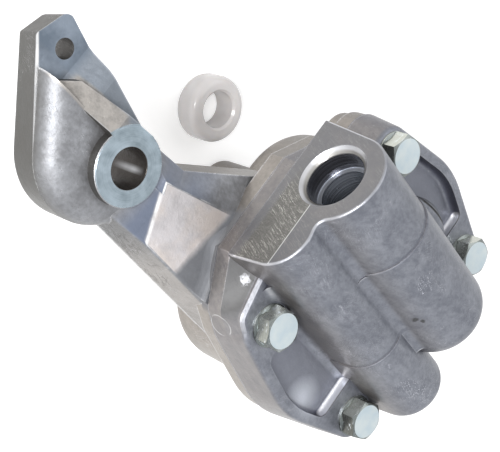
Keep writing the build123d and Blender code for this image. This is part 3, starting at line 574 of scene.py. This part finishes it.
# ---- bolts
boltPlate = {
    "top": (0.52, 0.61, 0.66),
    "pale": (0.62, 0.68, 0.69),
    "flank": (0.30, 0.31, 0.28),
    "smear": (0.66, 0.70, 0.72),
    "crown": (0.20, 0.23, 0.24),
    "rough": 0.26,
    "metal": 0.85,
    "relief": 0.03 * mm,
    "sizes": {"tone": 240, "fine": 1800, "smear": 420},
    "shares": {"smear": 0.8, "crown": 0.6},
    "zones": {"flat": {"nz": (0.95, 0.985)}, "crown": {"nz": (0.25, 0.45)}},
}


def boltPaint(look):
    paint = Paint("zincPlate")
    mask = paint.masks(look["zones"])
    size, share, flat = look["sizes"], look["shares"], mask["flat"]
    tone = paint.noise(size["tone"], 4)
    fine = paint.noise(size["fine"], 3)
    top = paint.mix(tone.rise(0.35, 0.7), look["top"], look["pale"])
    smear = paint.noise(size["smear"], 3, 0.6, paint.stretched((0, 0, 0), (1.0, 1.0, 0.25)))
    # painted light on the flanks: each facet lit or shaded by its direction, with painted sheen
    # streaks
    facet = abs(paint.nx * 2.1 - paint.ny * 1.3 + (smear - 0.5) * 1.2)
    shaded, lit = (tuple(c * gain for c in look["flank"]) for gain in (0.10, 1.5))
    flank = paint.mix((facet * 0.55).held(), shaded, lit)
    flank = paint.mix(smear.rise(0.60, 0.66) * share["smear"], flank, look["smear"])
    flank = paint.mix(mask["crown"] * (1 - flat) * share["crown"], flank, look["crown"])
    paint.set("Base Color", paint.mix(flat, flank, top))
    paint.set("Roughness", tone * 0.2 + look["rough"] - 0.10 + flat * 0.12)
    paint.set("Metallic", look["metal"])
    paint.bump(fine + tone, look["relief"])
    return paint.material


wear("cover_bolts", boltPaint(boltPlate))
print("bolts painted")


# ---- gears, shafts and valve
steelLooks = {
    "sinteredSteel": {
        "base": (0.13, 0.13, 0.135), "rough": 0.42,
        "nodes": ("drive_gear", "idler_gear"),
    },
    "groundSteel": {
        "base": (0.42, 0.42, 0.43), "rough": 0.28,
        "nodes": ("drive_shaft", "idler_shaft", "relief_valve", "retaining_pin"),
    },
    "springWire": {
        "base": (0.20, 0.20, 0.21), "rough": 0.36,
        "nodes": ("relief_spring", "spring_washer"),
    },
}


def steelPaint(name, look):
    paint = Paint(name)
    tone = paint.noise(300, 4)
    pits = paint.cells(2600).rise(0.20, 0.05)
    dark, pale = (tuple(c * gain for c in look["base"]) for gain in (0.5, 1.35))
    colour = paint.mix(tone, look["base"], pale)
    paint.set("Base Color", paint.mix(pits * 0.4, colour, dark))
    paint.set("Roughness", tone * 0.2 + look["rough"] - 0.1)
    paint.set("Metallic", 0.9)
    paint.bump(tone - pits, 0.03 * mm)
    return paint.material


for steelName, steelLook in steelLooks.items():
    steel = steelPaint(steelName, steelLook)
    for steelNode in steelLook["nodes"]:
        wear(steelNode, steel)
print("gear train painted")


def makeSpring():
    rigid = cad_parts["relief_spring"]
    coil = bpy.data.objects.new("relief_coil", rigid.data.copy())
    bpy.context.scene.collection.objects.link(coil)
    coil.matrix_world = rigid.matrix_world.copy()
    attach(coil, "pump_housing")
    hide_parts("relief_spring")
    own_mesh(coil)


makeSpring()
print("spring made")


# ---- shaft sleeve
sleeveLook = {
    "base": (0.55, 0.525, 0.520),
    "pale": (0.68, 0.660, 0.655),
    "rough": 0.18,
    "glow": 0.6,  # how much of the light goes into the nylon, and how deep
    "glowDepth": (4 * mm, 3.5 * mm, 3 * mm),
    "relief": 0.02 * mm,
}


def sleevePaint(look):
    paint = Paint("nylon")
    tone = paint.noise(160, 3)
    paint.set("Base Color", paint.mix(tone, look["base"], look["pale"]))
    paint.set("Roughness", tone * 0.15 + look["rough"] - 0.07)
    paint.set("Subsurface Weight", look["glow"])
    paint.set("Subsurface Radius", look["glowDepth"])
    paint.bump(paint.noise(700, 3), look["relief"])
    return paint.material


wear("shaft_retainer", sleevePaint(sleeveLook))
print("sleeve painted")


# ---- floor, world and lamps
studio = {
    "floor": 0.80,
    "floorRough": 0.9,
    "floorGlow": 0.42,
    "floorHalf": 3.0,
    "floorDrop": 0.2 * mm,
    "world": 0.60,
    "aim": (0.04, 0.02, 0),
    "lamps": {  # watts, place and size
        "key": (4.6, (-0.36, -0.26, 0.40), 0.22),
        "fill": (1.6, (-0.20, -0.60, 0.45), 0.45),
        "back": (1.2, (0.05, 0.55, 0.60), 0.60),
    },
}


def whiteBehind(tree):  # 1 for rays that see the background, 0 for the light on the object
    path = tree.nodes.new("ShaderNodeLightPath")
    first = tree.nodes.new("ShaderNodeMath")
    second = tree.nodes.new("ShaderNodeMath")
    first.operation = second.operation = "MAXIMUM"
    tree.links.new(path.outputs["Is Camera Ray"], first.inputs[0])
    tree.links.new(path.outputs["Is Glossy Ray"], first.inputs[1])
    tree.links.new(first.outputs[0], second.inputs[0])
    tree.links.new(path.outputs["Is Transmission Ray"], second.inputs[1])
    return second.outputs[0]


def makeWorld(look):
    world = bpy.data.worlds.new("studio")
    world.use_nodes = True
    tree = world.node_tree
    ground = tree.nodes["Background"]
    ground.inputs["Color"].default_value = (1, 1, 1, 1)
    span = tree.nodes.new("ShaderNodeMapRange")
    span.inputs["To Min"].default_value = look["world"]
    span.inputs["To Max"].default_value = 1.0
    tree.links.new(whiteBehind(tree), span.inputs["Value"])
    tree.links.new(span.outputs[0], ground.inputs["Strength"])
    bpy.context.scene.world = world


def makeFloor(look):
    half = look["floorHalf"]
    corners = [(-half, -half, 0), (half, -half, 0), (half, half, 0), (-half, half, 0)]
    mesh = bpy.data.meshes.new("floor")
    mesh.from_pydata(corners, [], [(0, 1, 2, 3)])
    floor = bpy.data.objects.new("floor", mesh)
    floor.location.z = cadLow[2] - look["floorDrop"]
    bpy.context.scene.collection.objects.link(floor)
    material = bpy.data.materials.new("paleFloor")
    material.use_nodes = True
    tree = material.node_tree
    shader = tree.nodes["Principled BSDF"]
    shader.inputs["Base Color"].default_value = (look["floor"],) * 3 + (1,)
    shader.inputs["Roughness"].default_value = look["floorRough"]
    shader.inputs["Emission Color"].default_value = (1, 1, 1, 1)
    span = tree.nodes.new("ShaderNodeMath")
    span.operation = "MULTIPLY"
    span.inputs[1].default_value = look["floorGlow"]
    tree.links.new(whiteBehind(tree), span.inputs[0])
    tree.links.new(span.outputs[0], shader.inputs["Emission Strength"])
    mesh.materials.append(material)


def makeLamps(look):
    for name, (power, place, size) in look["lamps"].items():
        data = bpy.data.lights.new(name, "AREA")
        data.energy, data.size = power, size
        lamp = bpy.data.objects.new(name, data)
        lamp.location = place
        aim = Vector(look["aim"]) - Vector(place)
        lamp.rotation_mode = "QUATERNION"
        lamp.rotation_quaternion = aim.to_track_quat("-Z", "Y")
        bpy.context.scene.collection.objects.link(lamp)


makeWorld(studio)
makeFloor(studio)
makeLamps(studio)
bpy.context.scene.view_settings.view_transform = "Standard"
print("studio ready")
